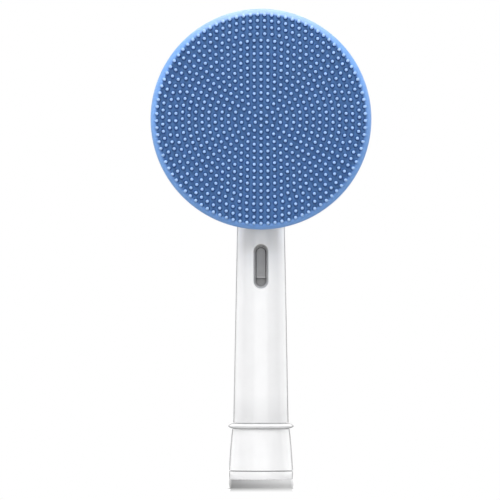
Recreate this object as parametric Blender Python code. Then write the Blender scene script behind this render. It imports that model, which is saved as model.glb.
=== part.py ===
"""Facial cleansing brush head for a powered handle.

Units are metres. +Z runs up the stem and the nubs face -Y. The origin is on the stem's axis, at its foot.
The pad swings about the Y axis through its centre. The drive rod turns about the Z axis and swings it.
"""
import math

import bmesh
import bpy
from mathutils import Vector
from mathutils.geometry import delaunay_2d_cdt

# Clearances
SEAT_GAP = 0.0003
RUNNING_GAP = 0.00035
CUT_OVERRUN = 0.001

# Facets round the larger and the smaller turned pieces
PAD_FACETS = 60
STEM_FACETS = 30
SMALL_FACETS = 20
FILLET_STEPS = 2

# Pad
PAD_RADIUS = 0.0225
PAD_HEIGHT = 0.07335
PAD_THICKNESS = 0.005
PAD_TO_STEM_GAP = 0.0006
FACE_WALL = 0.0015
SIDE_WALL = 0.0016
LIP_WALL = 0.0011
LIP_WIDTH = 0.005
FACE_EDGE_RADIUS = 0.0007
BACK_EDGE_RADIUS = 0.0008

# Nubs: rings of six, twelve, eighteen and so on, with fewer in the outermost rings
NUB_PITCH = 0.0013316
NUB_RADIUS = 0.00048
NUB_HEIGHT = 0.0014
NUB_SIDES = 4
NUBS_PER_RING_STEP = 6
THINNED_RINGS = {13: 73, 14: 81, 15: 87, 16: 93}

# Pad backing
BACKING_THICKNESS = 0.0018
BACKING_HUB_RADIUS = 0.0042
BACKING_RIB_COUNT = 8
BACKING_RIB_WIDTH = 0.0012
BACKING_RIB_HEIGHT = 0.0008

# Stem housing
FOOT_RADIUS = 0.0065
PARTING_HEIGHT = 0.00183
WAIST_RADIUS = 0.00563
NECK_RADIUS = 0.00451
FLARE_POWER = 0.6
FLARE_STEPS = 5
NECK_LENGTH = 0.008
NECK_STEPS = 8
NECK_SWELL = 0.002

# Cup at the top of the stem
CUP_RADIUS = 0.0065
CUP_WALL = 0.001
CUP_FRONT = 0.0044
CUP_BACK = 0.0046
CUP_BACK_WALL = 0.002
CUP_EDGE_RADIUS = 0.0016
CUP_STEPS = 6
CUP_TOP_ANGLE = math.radians(84)
CUP_FRONT_SQUARE = 12
CUP_BACK_SQUARE = 5
BEARING_HUB_RADIUS = 0.0033
BEARING_HUB_FRONT = -0.0009

# Marker ring in its groove
RING_HEIGHT = 0.011
RING_RADIUS = 0.0067
RING_THICKNESS = 0.00157
RING_SEAT_THICKNESS = 0.001
RING_GROOVE_DEPTH = 0.00045
RING_GROOVE_HEIGHT = 0.0019
RING_ARC_STEPS = 4

# Window
WINDOW_WIDTH = 0.00313
WINDOW_LOW = 0.0388
WINDOW_HIGH = 0.0480

# Base insert with the bore for the handle's neck
BORE_RADIUS = 0.0039
BORE_LEAD_IN = 0.0005
INSERT_WALL = 0.0006
INSERT_LENGTH = 0.020
FOOT_CHAMFER = 0.0002
GRIP_RIB_COUNT = 4
GRIP_RIB_WIDTH = 0.0009
GRIP_RIB_HEIGHT = 0.0003
GRIP_RIB_LOW = 0.0025
GRIP_RIB_HIGH = 0.014

# Drive rod
ROD_RADIUS = 0.0036
ROD_WAIST_RADIUS = 0.003
ROD_TOP_RADIUS = 0.0032
ROD_TOP_BELOW_PAD = 0.0066
ROD_SHOULDER = 0.001
SOCKET_RADIUS = 0.00175
SOCKET_FLAT = 0.00125
SOCKET_DEPTH = 0.0125
SOCKET_WALL_ABOVE = 0.0015
LAND_DEPTH = 0.0033
LAND_HALF_WIDTH = 0.0021
LAND_MARGIN = 0.0009
RAIL_WIDTH = 0.0020
RAIL_FRONT = 0.00355
RAIL_CROWN = 0.00015
RAIL_STEP_RISE = 0.0022
RAIL_TOP_DROP = 0.0007
RAIL_GROOVE_WIDTH = 0.00022
RAIL_GROOVE_DEPTH = 0.00045
NOTCH_HEIGHT = 0.00125
CROSS_RIB_WIDTH = 0.0012
CROSS_END_WALL = 0.0018

# Shaft clip
CLIP_RADIUS = 0.0035
CLIP_WALL = 0.0003
CLIP_HEIGHT = 0.0018
CLIP_RISE = 0.0055
CLIP_OPENING = math.radians(80)
CLIP_FACETS = 16
TANG_WIDTH = 0.0012
TANG_REACH = 0.0001

# Finger on the rod, and the carrier that it swings
SWING_ANGLE = math.radians(22.5)
FINGER_OFFSET = 0.00265
FINGER_RADIUS = 0.00055
FINGER_DROP = 0.003
FINGER_TIP = 0.0008
CARRIER_FRONT = 0.0049
CARRIER_BACK = 0.0012
JOURNAL_RADIUS = 0.0015
JOURNAL_LENGTH = 0.0044
JOURNAL_GROOVE_RADIUS = 0.00095
STUB_RADIUS = 0.0024
STUB_FLAT = 0.0019
STUB_SNAP = 0.0002

# Retaining pin
PIN_RADIUS = 0.0005
PIN_BEHIND = 0.0018
PIN_RECESS = 0.0003
PIN_DEPTH = 0.002

# Planes and radii that follow from the sizes above
FACE_FLAT_RADIUS = PAD_RADIUS - FACE_EDGE_RADIUS
CAVITY_RADIUS = PAD_RADIUS - SIDE_WALL
LIP_RADIUS = PAD_RADIUS - LIP_WIDTH
BACKING_RADIUS = CAVITY_RADIUS - SEAT_GAP
CUP_CAVITY_RADIUS = CUP_RADIUS - CUP_WALL
CUP_FLOOR = CUP_BACK - CUP_BACK_WALL
CARRIER_RADIUS = CUP_CAVITY_RADIUS - SEAT_GAP
INSERT_RADIUS = BORE_RADIUS + INSERT_WALL
ROD_FOOT = INSERT_LENGTH + SEAT_GAP
ROD_HEAD = PAD_HEIGHT - ROD_TOP_BELOW_PAD
FINGER_TOP = PAD_HEIGHT - FINGER_DROP + FINGER_TIP
NECK_TOP = PAD_HEIGHT - 0.5 * CUP_RADIUS


def stem_radius(height):
    """Outer radius of the stem: a straight taper above the marker ring and a flare below it."""
    if height >= RING_HEIGHT:
        share = (height - RING_HEIGHT) / (NECK_TOP - RING_HEIGHT)
        return WAIST_RADIUS + share * (NECK_RADIUS - WAIST_RADIUS)
    share = (RING_HEIGHT - height) / (RING_HEIGHT - PARTING_HEIGHT)
    return WAIST_RADIUS + (FOOT_RADIUS - WAIST_RADIUS) * share ** FLARE_POWER


PAD_BACK = -stem_radius(PAD_HEIGHT - PAD_RADIUS) - PAD_TO_STEM_GAP
PAD_FACE = PAD_BACK - PAD_THICKNESS
BACKING_BACK = PAD_BACK - LIP_WALL - SEAT_GAP
BACKING_FRONT = BACKING_BACK - BACKING_THICKNESS


def material(name, colour, roughness, metallic=0.0):
    made = bpy.data.materials.new(name)
    made.use_nodes = True
    shader = made.node_tree.nodes["Principled BSDF"]
    shader.inputs["Base Color"].default_value = (*colour, 1.0)
    shader.inputs["Roughness"].default_value = roughness
    shader.inputs["Metallic"].default_value = metallic
    return made


def arc(centre, radius, start, end, steps):
    """Points along an arc, from one angle to the other in degrees."""
    angles = [math.radians(start + (end - start) * step / steps) for step in range(steps + 1)]
    return [(centre[0] + radius * math.cos(a), centre[1] + radius * math.sin(a)) for a in angles]


def finished(name, bm, place=(0, 0, 0), finish=None):
    """Turns a bmesh into an object with its faces pointing out."""
    bmesh.ops.recalc_face_normals(bm, faces=bm.faces)
    mesh = bpy.data.meshes.new(name)
    bm.to_mesh(mesh)
    bm.free()
    mesh.shade_smooth()
    mesh.set_sharp_from_angle(angle=math.radians(32))
    made = bpy.data.objects.new(name, mesh)
    made.location = place
    if finish:
        mesh.materials.append(finish)
    bpy.context.scene.collection.objects.link(made)
    return made


def turned_bmesh(profile, axis, facets):
    """Spins a profile of (radius, place along the axis) about Z or Y. It closes on itself off the axis.

    On the axis, each fan of triangles becomes one flat cap.
    """
    bm = bmesh.new()
    for radius, along in profile:
        bm.verts.new((radius, 0, along) if axis == "Z" else (radius, along, 0))
    bm.verts.ensure_lookup_table()
    count = len(profile)
    closes = profile[0][0] > 0 and profile[-1][0] > 0
    for first in range(count if closes else count - 1):
        bm.edges.new((bm.verts[first], bm.verts[(first + 1) % count]))
    spin_axis = Vector((0, 0, 1)) if axis == "Z" else Vector((0, 1, 0))
    bmesh.ops.spin(bm, geom=bm.verts[:] + bm.edges[:], cent=(0, 0, 0), axis=spin_axis,
                   angle=math.tau, steps=facets, use_merge=True)
    bmesh.ops.remove_doubles(bm, verts=bm.verts, dist=1e-6)
    hubs = [vert for vert in bm.verts if vert.co.cross(spin_axis).length < 1e-7]
    bmesh.ops.dissolve_verts(bm, verts=hubs)
    return bm


def turned(name, profile, axis="Z", facets=STEM_FACETS, place=(0, 0, 0), finish=None):
    return finished(name, turned_bmesh(profile, axis, facets), place, finish)


def extruded_bmesh(outline, low, high, axis):
    """Pushes a closed outline from one plane to another. It lies in XY for axis Z and in XZ for axis Y."""
    bm = bmesh.new()
    corners = [bm.verts.new((u, v, low) if axis == "Z" else (u, low, v)) for u, v in outline]
    base = bm.faces.new(corners)
    grown = bmesh.ops.extrude_face_region(bm, geom=[base])["geom"]
    moved = [item for item in grown if isinstance(item, bmesh.types.BMVert)]
    shift = (0, 0, high - low) if axis == "Z" else (0, high - low, 0)
    bmesh.ops.translate(bm, verts=moved, vec=shift)
    return bm


def extruded(name, outline, low, high, axis="Z", place=(0, 0, 0), finish=None):
    return finished(name, extruded_bmesh(outline, low, high, axis), place, finish)


def rounded(value, square):
    """A sine or cosine, pushed out towards a squarer form. A square of 2 leaves it as it is."""
    return math.copysign(abs(value) ** (2 / square), value)


def lofted(name, rings, finish=None):
    """Skins rings of (height, half width, front, back, front square, back square) and caps both ends."""
    bm = bmesh.new()
    loops = []
    for height, half_width, front, back, front_square, back_square in rings:
        middle = (front + back) / 2
        depth = (back - front) / 2
        loop = []
        for step in range(STEM_FACETS):
            turn = math.tau * step / STEM_FACETS
            square = front_square if math.sin(turn) < 0 else back_square
            x = half_width * rounded(math.cos(turn), square)
            loop.append(bm.verts.new((x, middle + depth * rounded(math.sin(turn), square), height)))
        loops.append(loop)
    for lower, upper in zip(loops, loops[1:]):
        for step in range(STEM_FACETS):
            after = (step + 1) % STEM_FACETS
            bm.faces.new((lower[step], lower[after], upper[after], upper[step]))
    bm.faces.new(loops[0])
    bm.faces.new(loops[-1])
    return finished(name, bm, finish=finish)


def boolean(target, tool, operation):
    """Adds an exact Boolean, and keeps its helper out of the model."""
    tool.hide_render = True
    tool.display_type = "WIRE"
    modifier = target.modifiers.new(tool.name, "BOOLEAN")
    modifier.object = tool
    modifier.operation = operation
    modifier.solver = "EXACT"


def box_outline(half_width, low, high):
    return [(-half_width, low), (half_width, low), (half_width, high), (-half_width, high)]


def flatted_circle(radius, flats, facets):
    """A circle cut back to flats. Each flat is (axis, low, high), with axis 0 for X and 1 for Y."""
    points = [(radius * math.cos(math.tau * k / facets), radius * math.sin(math.tau * k / facets))
              for k in range(facets)]
    for axis, low, high in flats:
        points = [tuple(max(low, min(high, value)) if index == axis else value
                        for index, value in enumerate(point)) for point in points]
    tidy = [p for k, p in enumerate(points) if (Vector(p) - Vector(points[k - 1])).length > 1e-7]
    return tidy


def cup_half_width(height):
    """Half width of the cup's round outline at a height."""
    return math.sqrt(max(CUP_RADIUS ** 2 - (height - PAD_HEIGHT) ** 2, 0))


def stem_half_width(height):
    """The taper, which swells smoothly into the cup's round outline."""
    cup = cup_half_width(height)
    if height >= PAD_HEIGHT:
        return cup
    taper = stem_radius(height)
    swell = max(NECK_SWELL - abs(taper - cup), 0) ** 2 / (4 * NECK_SWELL)
    return max(taper, cup) + swell


def round_ring(height, radius):
    return (height, radius, -radius, radius, 2, 2)


def neck_ring(height):
    """The section at a height, from the round stem up to the squarer cup with its rounded back edge."""
    share = min((height - PAD_HEIGHT) / NECK_LENGTH + 1, 1)
    blend = share * share * (3 - 2 * share)
    radius = stem_radius(height)
    front = radius + blend * (CUP_FRONT - radius)
    over = max(height - PAD_HEIGHT - CUP_RADIUS + CUP_EDGE_RADIUS, 0)
    edge_drop = CUP_EDGE_RADIUS - math.sqrt(CUP_EDGE_RADIUS ** 2 - over ** 2)
    back = radius + blend * (CUP_BACK - radius) - edge_drop
    return (height, stem_half_width(height), -front, back,
            2 + blend * (CUP_FRONT_SQUARE - 2), 2 + blend * (CUP_BACK_SQUARE - 2))


def stem_housing(finish):
    """The white sleeve, its neck and its cup, bored for the insert, the rod and the carrier."""
    foot = PARTING_HEIGHT + SEAT_GAP / 2
    groove_low = RING_HEIGHT - RING_GROOVE_HEIGHT / 2
    groove_high = RING_HEIGHT + RING_GROOVE_HEIGHT / 2
    floor = WAIST_RADIUS - RING_GROOVE_DEPTH
    flare = [foot + (groove_low - foot) * step / FLARE_STEPS for step in range(FLARE_STEPS + 1)]
    rings = [round_ring(height, stem_radius(height)) for height in flare]
    rings += [round_ring(groove_low, floor), round_ring(groove_high, floor)]
    rings.append(round_ring(groove_high, stem_radius(groove_high)))
    for step in range(NECK_STEPS + 1):
        rings.append(neck_ring(PAD_HEIGHT - NECK_LENGTH * (1 - step / NECK_STEPS)))
    for step in range(1, CUP_STEPS + 1):
        rings.append(neck_ring(PAD_HEIGHT + CUP_RADIUS * math.sin(CUP_TOP_ANGLE * step / CUP_STEPS)))
    housing = lofted("stem_housing", rings, finish)
    boolean(housing, cup_cavity(), "DIFFERENCE")
    boolean(housing, stem_bore(), "DIFFERENCE")
    boolean(housing, window_cutter(), "DIFFERENCE")
    boolean(housing, pin_hole(), "DIFFERENCE")
    return housing


def cup_cavity():
    """The cup's hollow, with the bearing hub left standing and bored for the journal."""
    bore = JOURNAL_RADIUS + SEAT_GAP
    bore_end = JOURNAL_LENGTH - CARRIER_BACK + SEAT_GAP
    profile = [(0, -CUP_FRONT - CUT_OVERRUN), (CUP_CAVITY_RADIUS, -CUP_FRONT - CUT_OVERRUN),
               (CUP_CAVITY_RADIUS, CUP_FLOOR), (BEARING_HUB_RADIUS, CUP_FLOOR),
               (BEARING_HUB_RADIUS, BEARING_HUB_FRONT), (bore, BEARING_HUB_FRONT),
               (bore, bore_end), (0, bore_end)]
    return turned("cup_cavity", profile, "Y", STEM_FACETS, (0, 0, PAD_HEIGHT))


def stem_bore():
    """One stepped bore: the insert's seat, the rod's room and the narrower top that opens into the cup."""
    seat = INSERT_RADIUS + SEAT_GAP
    room = max(ROD_RADIUS, RAIL_FRONT) + RUNNING_GAP
    top = ROD_TOP_RADIUS + RUNNING_GAP
    step_low = WINDOW_HIGH + LAND_MARGIN + SEAT_GAP
    cup_edge = math.sqrt(max(CUP_CAVITY_RADIUS ** 2 - top ** 2, 0))
    profile = [(0, 0), (seat, 0), (seat, INSERT_LENGTH + SEAT_GAP), (room, INSERT_LENGTH + SEAT_GAP),
               (room, step_low), (top, step_low + ROD_SHOULDER), (top, PAD_HEIGHT - cup_edge + SEAT_GAP),
               (0, PAD_HEIGHT - cup_edge + SEAT_GAP)]
    return turned("stem_bore", profile)


def window_outline(inset=0.0):
    """The oblong with full-round ends, made smaller by an inset."""
    radius = WINDOW_WIDTH / 2 - inset
    upper = arc((0, WINDOW_HIGH - WINDOW_WIDTH / 2), radius, 0, 180, SMALL_FACETS // 2)
    lower = arc((0, WINDOW_LOW + WINDOW_WIDTH / 2), radius, 180, 360, SMALL_FACETS // 2)
    return upper + lower


def window_cutter():
    return extruded("window_cutter", window_outline(), -FOOT_RADIUS - CUT_OVERRUN, 0, "Y")


def pin_x():
    return JOURNAL_GROOVE_RADIUS + SEAT_GAP + PIN_RADIUS


def pin_hole():
    """Runs down through the cup's top wall and the bearing hub, beside the journal."""
    radius = PIN_RADIUS + SEAT_GAP
    profile = [(0, -PIN_DEPTH - SEAT_GAP), (radius, -PIN_DEPTH - SEAT_GAP),
               (radius, CUP_RADIUS + CUT_OVERRUN), (0, CUP_RADIUS + CUT_OVERRUN)]
    return turned("pin_hole", profile, "Z", SMALL_FACETS // 2, (pin_x(), PIN_BEHIND, PAD_HEIGHT))


def retaining_pin(finish):
    """The steel pin that stops the carrier from leaving its bearing."""
    reach = math.sqrt(CUP_RADIUS ** 2 - pin_x() ** 2) - PIN_RECESS
    profile = [(0, -PIN_DEPTH), (PIN_RADIUS, -PIN_DEPTH), (PIN_RADIUS, reach), (0, reach)]
    return turned("retaining_pin", profile, "Z", SMALL_FACETS // 2, (pin_x(), PIN_BEHIND, PAD_HEIGHT), finish)


def base_insert(finish):
    """The foot's flange and inner sleeve, bored for the handle's neck."""
    flange_top = PARTING_HEIGHT - SEAT_GAP / 2
    profile = [(BORE_RADIUS + BORE_LEAD_IN, 0), (FOOT_RADIUS - FOOT_CHAMFER, 0), (FOOT_RADIUS, FOOT_CHAMFER),
               (FOOT_RADIUS, flange_top), (INSERT_RADIUS, flange_top), (INSERT_RADIUS, INSERT_LENGTH),
               (BORE_RADIUS, INSERT_LENGTH), (BORE_RADIUS, BORE_LEAD_IN)]
    insert = turned("base_insert", profile, finish=finish)
    for number in range(GRIP_RIB_COUNT):
        boolean(insert, grip_rib(number), "UNION")
    return insert


def grip_rib(number):
    """A rib along the bore. It starts halfway into the sleeve's wall."""
    inner = BORE_RADIUS - GRIP_RIB_HEIGHT
    outline = [(inner, -GRIP_RIB_WIDTH / 2), (BORE_RADIUS + INSERT_WALL / 2, -GRIP_RIB_WIDTH / 2),
               (BORE_RADIUS + INSERT_WALL / 2, GRIP_RIB_WIDTH / 2), (inner, GRIP_RIB_WIDTH / 2)]
    rib = extruded(f"grip_rib_{number}", outline, GRIP_RIB_LOW, GRIP_RIB_HIGH)
    rib.rotation_euler.z = math.tau * number / GRIP_RIB_COUNT
    return rib


def marker_ring(finish):
    """A ring of pointed oval section. Its narrow back sits in the stem's groove."""
    back = WAIST_RADIUS - RING_GROOVE_DEPTH + SEAT_GAP
    widest = WAIST_RADIUS + SEAT_GAP
    reach = RING_RADIUS - widest
    profile = [(back, RING_SEAT_THICKNESS / 2), (back, -RING_SEAT_THICKNESS / 2)]
    for step in range(RING_ARC_STEPS + 1):
        share = 2 * step / RING_ARC_STEPS - 1
        profile.append((widest + reach * (1 - share * share), share * RING_THICKNESS / 2))
    return turned("marker_ring", profile, place=(0, 0, RING_HEIGHT), finish=finish)


def drive_rod(finish):
    """The grey rod: shaft socket, clip groove, window land with its rail, cross ribs, head and finger."""
    socket_top = SOCKET_DEPTH + SOCKET_WALL_ABOVE
    head = ROD_HEAD - ROD_FOOT
    step_low = WINDOW_HIGH + LAND_MARGIN + ROD_SHOULDER - ROD_FOOT
    groove = CLIP_RADIUS - CLIP_WALL - SEAT_GAP
    groove_low = CLIP_RISE - SEAT_GAP
    groove_high = CLIP_RISE + CLIP_HEIGHT + SEAT_GAP
    profile = [(0, 0), (ROD_RADIUS, 0), (ROD_RADIUS, groove_low), (groove, groove_low),
               (groove, groove_high), (ROD_RADIUS, groove_high), (ROD_RADIUS, socket_top),
               (ROD_WAIST_RADIUS, socket_top + ROD_SHOULDER), (ROD_WAIST_RADIUS, step_low),
               (ROD_TOP_RADIUS, step_low + ROD_SHOULDER), (ROD_TOP_RADIUS, head), (0, head)]
    rod = turned("drive_rod", profile, place=(0, 0, ROD_FOOT), finish=finish)
    boolean(rod, socket_cutter(), "DIFFERENCE")
    boolean(rod, tang_slot(), "DIFFERENCE")
    boolean(rod, land_cutter(), "DIFFERENCE")
    boolean(rod, rail_pocket(), "DIFFERENCE")
    boolean(rod, window_rail(), "UNION")
    for number in range(4):
        boolean(rod, cross_pocket(number), "DIFFERENCE")
    boolean(rod, finger(), "UNION")
    return rod


def socket_cutter():
    """The D-shaped socket for the handle's shaft. Its flat is at the back."""
    outline = flatted_circle(SOCKET_RADIUS, [(1, -SOCKET_RADIUS, SOCKET_FLAT)], SMALL_FACETS)
    return extruded("socket_cutter", outline, -CUT_OVERRUN, SOCKET_DEPTH, place=(0, 0, ROD_FOOT))


def tang_slot():
    """Lets the clip's tang through the rod's back wall."""
    low = CLIP_RISE - SEAT_GAP
    high = CLIP_RISE + CLIP_HEIGHT + SEAT_GAP
    outline = box_outline(TANG_WIDTH / 2 + SEAT_GAP, low, high)
    return extruded("tang_slot", outline, 0, ROD_RADIUS + CUT_OVERRUN, "Y", (0, 0, ROD_FOOT))


def land_cutter():
    """Cuts the flat land that lies behind the window."""
    outline = box_outline(LAND_HALF_WIDTH, WINDOW_LOW - LAND_MARGIN, WINDOW_HIGH + LAND_MARGIN)
    return extruded("land_cutter", outline, -ROD_RADIUS - CUT_OVERRUN, -LAND_DEPTH, "Y")


def rail_foot():
    return WINDOW_LOW + RAIL_STEP_RISE


def arched_outline(half, low):
    """A strip with a round top, about the rail's own arch, in the window's plane."""
    arch = WINDOW_HIGH - RAIL_TOP_DROP - RAIL_WIDTH / 2
    return [(-half, low), (half, low)] + arc((0, arch), half, 0, 180, SMALL_FACETS // 2)


def rail_pocket():
    """Leaves a thin groove round the rail and a notch below it."""
    outline = arched_outline(RAIL_WIDTH / 2 + RAIL_GROOVE_WIDTH, rail_foot() - NOTCH_HEIGHT)
    return extruded("rail_pocket", outline, -ROD_RADIUS - CUT_OVERRUN, -LAND_DEPTH + RAIL_GROOVE_DEPTH, "Y")


def window_rail():
    """The raised rail with an arched top and eased edges, as seen through the window."""
    sunk = -LAND_DEPTH + RAIL_GROOVE_DEPTH + SEAT_GAP
    bm = extruded_bmesh(arched_outline(RAIL_WIDTH / 2, rail_foot()), sunk, -RAIL_FRONT + RAIL_CROWN, "Y")
    front = min(bm.faces, key=lambda face: face.calc_center_median().y)
    bmesh.ops.inset_region(bm, faces=[front], thickness=RAIL_CROWN)
    bmesh.ops.translate(bm, verts=front.verts, vec=(0, -RAIL_CROWN, 0))
    return finished("window_rail", bm)


def cross_pocket(number):
    """One of the four moulding pockets that leave a cross of ribs above the window."""
    low = WINDOW_HIGH + LAND_MARGIN + 2 * ROD_SHOULDER + CROSS_END_WALL
    near = CROSS_RIB_WIDTH / 2
    far = ROD_TOP_RADIUS + CUT_OVERRUN
    outline = [(near, near), (far, near), (far, far), (near, far)]
    pocket = extruded(f"cross_pocket_{number}", outline, low, ROD_HEAD - CROSS_END_WALL)
    pocket.rotation_euler.z = math.tau * number / 4
    return pocket


def finger():
    """The off-centre finger that reaches up into the carrier's slot."""
    start = ROD_HEAD - CROSS_END_WALL / 2
    length = FINGER_TOP - start
    tip = FINGER_RADIUS / 2
    profile = [(0, 0), (FINGER_RADIUS, 0), (FINGER_RADIUS, length - tip), (FINGER_RADIUS - tip, length),
               (0, length)]
    return turned("finger", profile, "Z", SMALL_FACETS // 2, (0, -FINGER_OFFSET, start))


def shaft_clip(finish):
    """A steel C-clip round the rod, with a tang that reaches in to the handle's shaft."""
    inner = CLIP_RADIUS - CLIP_WALL
    start = -90 + math.degrees(CLIP_OPENING) / 2
    end = 270 - math.degrees(CLIP_OPENING) / 2
    outline = arc((0, 0), CLIP_RADIUS, start, end, CLIP_FACETS)
    back = arc((0, 0), inner, end, start, CLIP_FACETS)
    middle = CLIP_FACETS // 2
    tip = SOCKET_FLAT - TANG_REACH
    half = TANG_WIDTH / 2
    shoulder = math.sqrt(inner ** 2 - half ** 2)
    tang = [(-half, shoulder), (-half, tip), (half, tip), (half, shoulder)]
    before = [p for p in back[:middle] if p[0] < -half]
    after = [p for p in back[middle + 1:] if p[0] > half]
    return extruded("shaft_clip", outline + before + tang + after, CLIP_RISE, CLIP_RISE + CLIP_HEIGHT,
                    place=(0, 0, ROD_FOOT), finish=finish)


def pad_carrier(finish):
    """The disc in the cup, with its journal behind, its stub in front and the finger's slot below."""
    stub_end = BACKING_FRONT + SEAT_GAP
    snap = STUB_RADIUS + STUB_SNAP
    groove_low = PIN_BEHIND - PIN_RADIUS - SEAT_GAP
    groove_high = PIN_BEHIND + PIN_RADIUS + SEAT_GAP
    journal_end = JOURNAL_LENGTH - CARRIER_BACK
    profile = [(0, stub_end), (STUB_RADIUS - STUB_SNAP, stub_end), (snap, stub_end + 2 * STUB_SNAP),
               (STUB_RADIUS, stub_end + 4 * STUB_SNAP), (STUB_RADIUS, -CARRIER_FRONT),
               (CARRIER_RADIUS, -CARRIER_FRONT), (CARRIER_RADIUS, -CARRIER_BACK),
               (JOURNAL_RADIUS, -CARRIER_BACK), (JOURNAL_RADIUS, groove_low),
               (JOURNAL_GROOVE_RADIUS, groove_low), (JOURNAL_GROOVE_RADIUS, groove_high),
               (JOURNAL_RADIUS, groove_high), (JOURNAL_RADIUS, journal_end), (0, journal_end)]
    carrier = turned("pad_carrier", profile, "Y", STEM_FACETS, (0, 0, PAD_HEIGHT), finish)
    boolean(carrier, finger_slot(), "DIFFERENCE")
    for side in (-1, 1):
        boolean(carrier, stub_flat(side), "DIFFERENCE")
    return carrier


def finger_slot():
    """A slot open at the rim and at the back. It widens from the finger's height by the swing's slope."""
    slope = math.tan(SWING_ANGLE)
    end = FINGER_TOP - PAD_HEIGHT + 2 * SEAT_GAP
    rim = CARRIER_RADIUS + CUT_OVERRUN
    inner = FINGER_RADIUS + FINGER_TIP * slope + RUNNING_GAP
    mouth = FINGER_RADIUS / math.cos(SWING_ANGLE) + (rim - FINGER_DROP) * slope + RUNNING_GAP
    outline = [(-mouth, -rim), (mouth, -rim), (inner, end), (-inner, end)]
    front = -FINGER_OFFSET - FINGER_RADIUS - 2 * SEAT_GAP
    return extruded("finger_slot", outline, front, -CARRIER_BACK + CUT_OVERRUN / 2, "Y", (0, 0, PAD_HEIGHT))


def stub_flat(side):
    """Takes one side off the stub, so that the backing can't turn on it."""
    near = STUB_FLAT
    far = STUB_RADIUS + CUT_OVERRUN
    reach = STUB_RADIUS + CUT_OVERRUN
    outline = [(side * near, -reach), (side * far, -reach), (side * far, reach), (side * near, reach)]
    name = "stub_flat_left" if side < 0 else "stub_flat_right"
    return extruded(name, outline, BACKING_FRONT, -CARRIER_FRONT, "Y", (0, 0, PAD_HEIGHT))


def pad_backing(finish):
    """The stiff disc behind the silicone, with radial ribs and the hub that takes the stub."""
    hub_back = -CARRIER_FRONT - SEAT_GAP
    profile = [(0, BACKING_FRONT), (BACKING_RADIUS, BACKING_FRONT), (BACKING_RADIUS, BACKING_BACK),
               (BACKING_HUB_RADIUS, BACKING_BACK), (BACKING_HUB_RADIUS, hub_back), (0, hub_back)]
    backing = turned("pad_backing", profile, "Y", PAD_FACETS, (0, 0, PAD_HEIGHT), finish)
    boolean(backing, backing_ribs(), "UNION")
    boolean(backing, hub_socket(), "DIFFERENCE")
    return backing


def backing_ribs():
    """A star of ribs, drawn as one outline."""
    half = BACKING_RIB_WIDTH / 2
    reach = LIP_RADIUS - SEAT_GAP
    crook = half / math.sin(math.pi / BACKING_RIB_COUNT)
    outline = []
    for number in range(BACKING_RIB_COUNT):
        turn = math.tau * number / BACKING_RIB_COUNT
        along = Vector((math.cos(turn), math.sin(turn)))
        across = Vector((-along.y, along.x))
        gap_turn = turn + math.pi / BACKING_RIB_COUNT
        outline += [tuple(along * reach - across * half), tuple(along * reach + across * half),
                    (crook * math.cos(gap_turn), crook * math.sin(gap_turn))]
    middle = (BACKING_FRONT + BACKING_BACK) / 2
    return extruded("backing_ribs", outline, middle, BACKING_BACK + BACKING_RIB_HEIGHT, "Y", (0, 0, PAD_HEIGHT))


def hub_socket():
    radius = STUB_RADIUS + STUB_SNAP + SEAT_GAP
    flat = STUB_FLAT + SEAT_GAP
    outline = flatted_circle(radius, [(0, -flat, flat)], SMALL_FACETS)
    return extruded("hub_socket", outline, BACKING_FRONT - CUT_OVERRUN, -CARRIER_FRONT + CUT_OVERRUN, "Y",
                    (0, 0, PAD_HEIGHT))


def nub_places():
    """Each nub's centre as (x, z) about the pad's axis, and its turn round it. Each ring starts at the bottom."""
    places = [(0.0, 0.0, 0.0)]
    for ring in range(1, int((FACE_FLAT_RADIUS - NUB_RADIUS) / NUB_PITCH) + 1):
        count = THINNED_RINGS.get(ring, NUBS_PER_RING_STEP * ring)
        for number in range(count):
            turn = math.tau * number / count
            places.append((ring * NUB_PITCH * math.sin(turn), -ring * NUB_PITCH * math.cos(turn), turn))
    return places


def nub_face(bm):
    """Fills the pad's face: a flat floor cut round each nub's foot, and a cone on each foot.

    One side of each foot faces the pad's rim.
    """
    rim = arc((0, 0), FACE_FLAT_RADIUS, 0, 360, PAD_FACETS)[:-1]
    points = [Vector(point) for point in rim]
    outlines = [list(range(PAD_FACETS))]
    for x, z, turn in nub_places():
        start = math.degrees(turn) - 90 + 180 / NUB_SIDES
        foot = arc((x, z), NUB_RADIUS, start, start + 360, NUB_SIDES)[:-1]
        outlines.append(list(range(len(points), len(points) + NUB_SIDES)))
        points += [Vector(point) for point in foot]
    flat, _, triangles, sources, _, inside = delaunay_2d_cdt(points, [], outlines, 1, 1e-9)
    verts = [bm.verts.new((x, PAD_FACE, z)) for x, z in flat]
    placed = {source: vert for vert, group in zip(verts, sources) for source in group}
    for corners, holders in zip(triangles, inside):
        if len(holders) == 1:
            bm.faces.new([verts[corner] for corner in corners])
    feet = [bm.faces.new([placed[point] for point in outline]) for outline in outlines[1:]]
    bmesh.ops.remove_doubles(bm, verts=bm.verts, dist=1e-6)
    bmesh.ops.recalc_face_normals(bm, faces=bm.faces)
    bmesh.ops.poke(bm, faces=feet, offset=NUB_HEIGHT)


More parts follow.
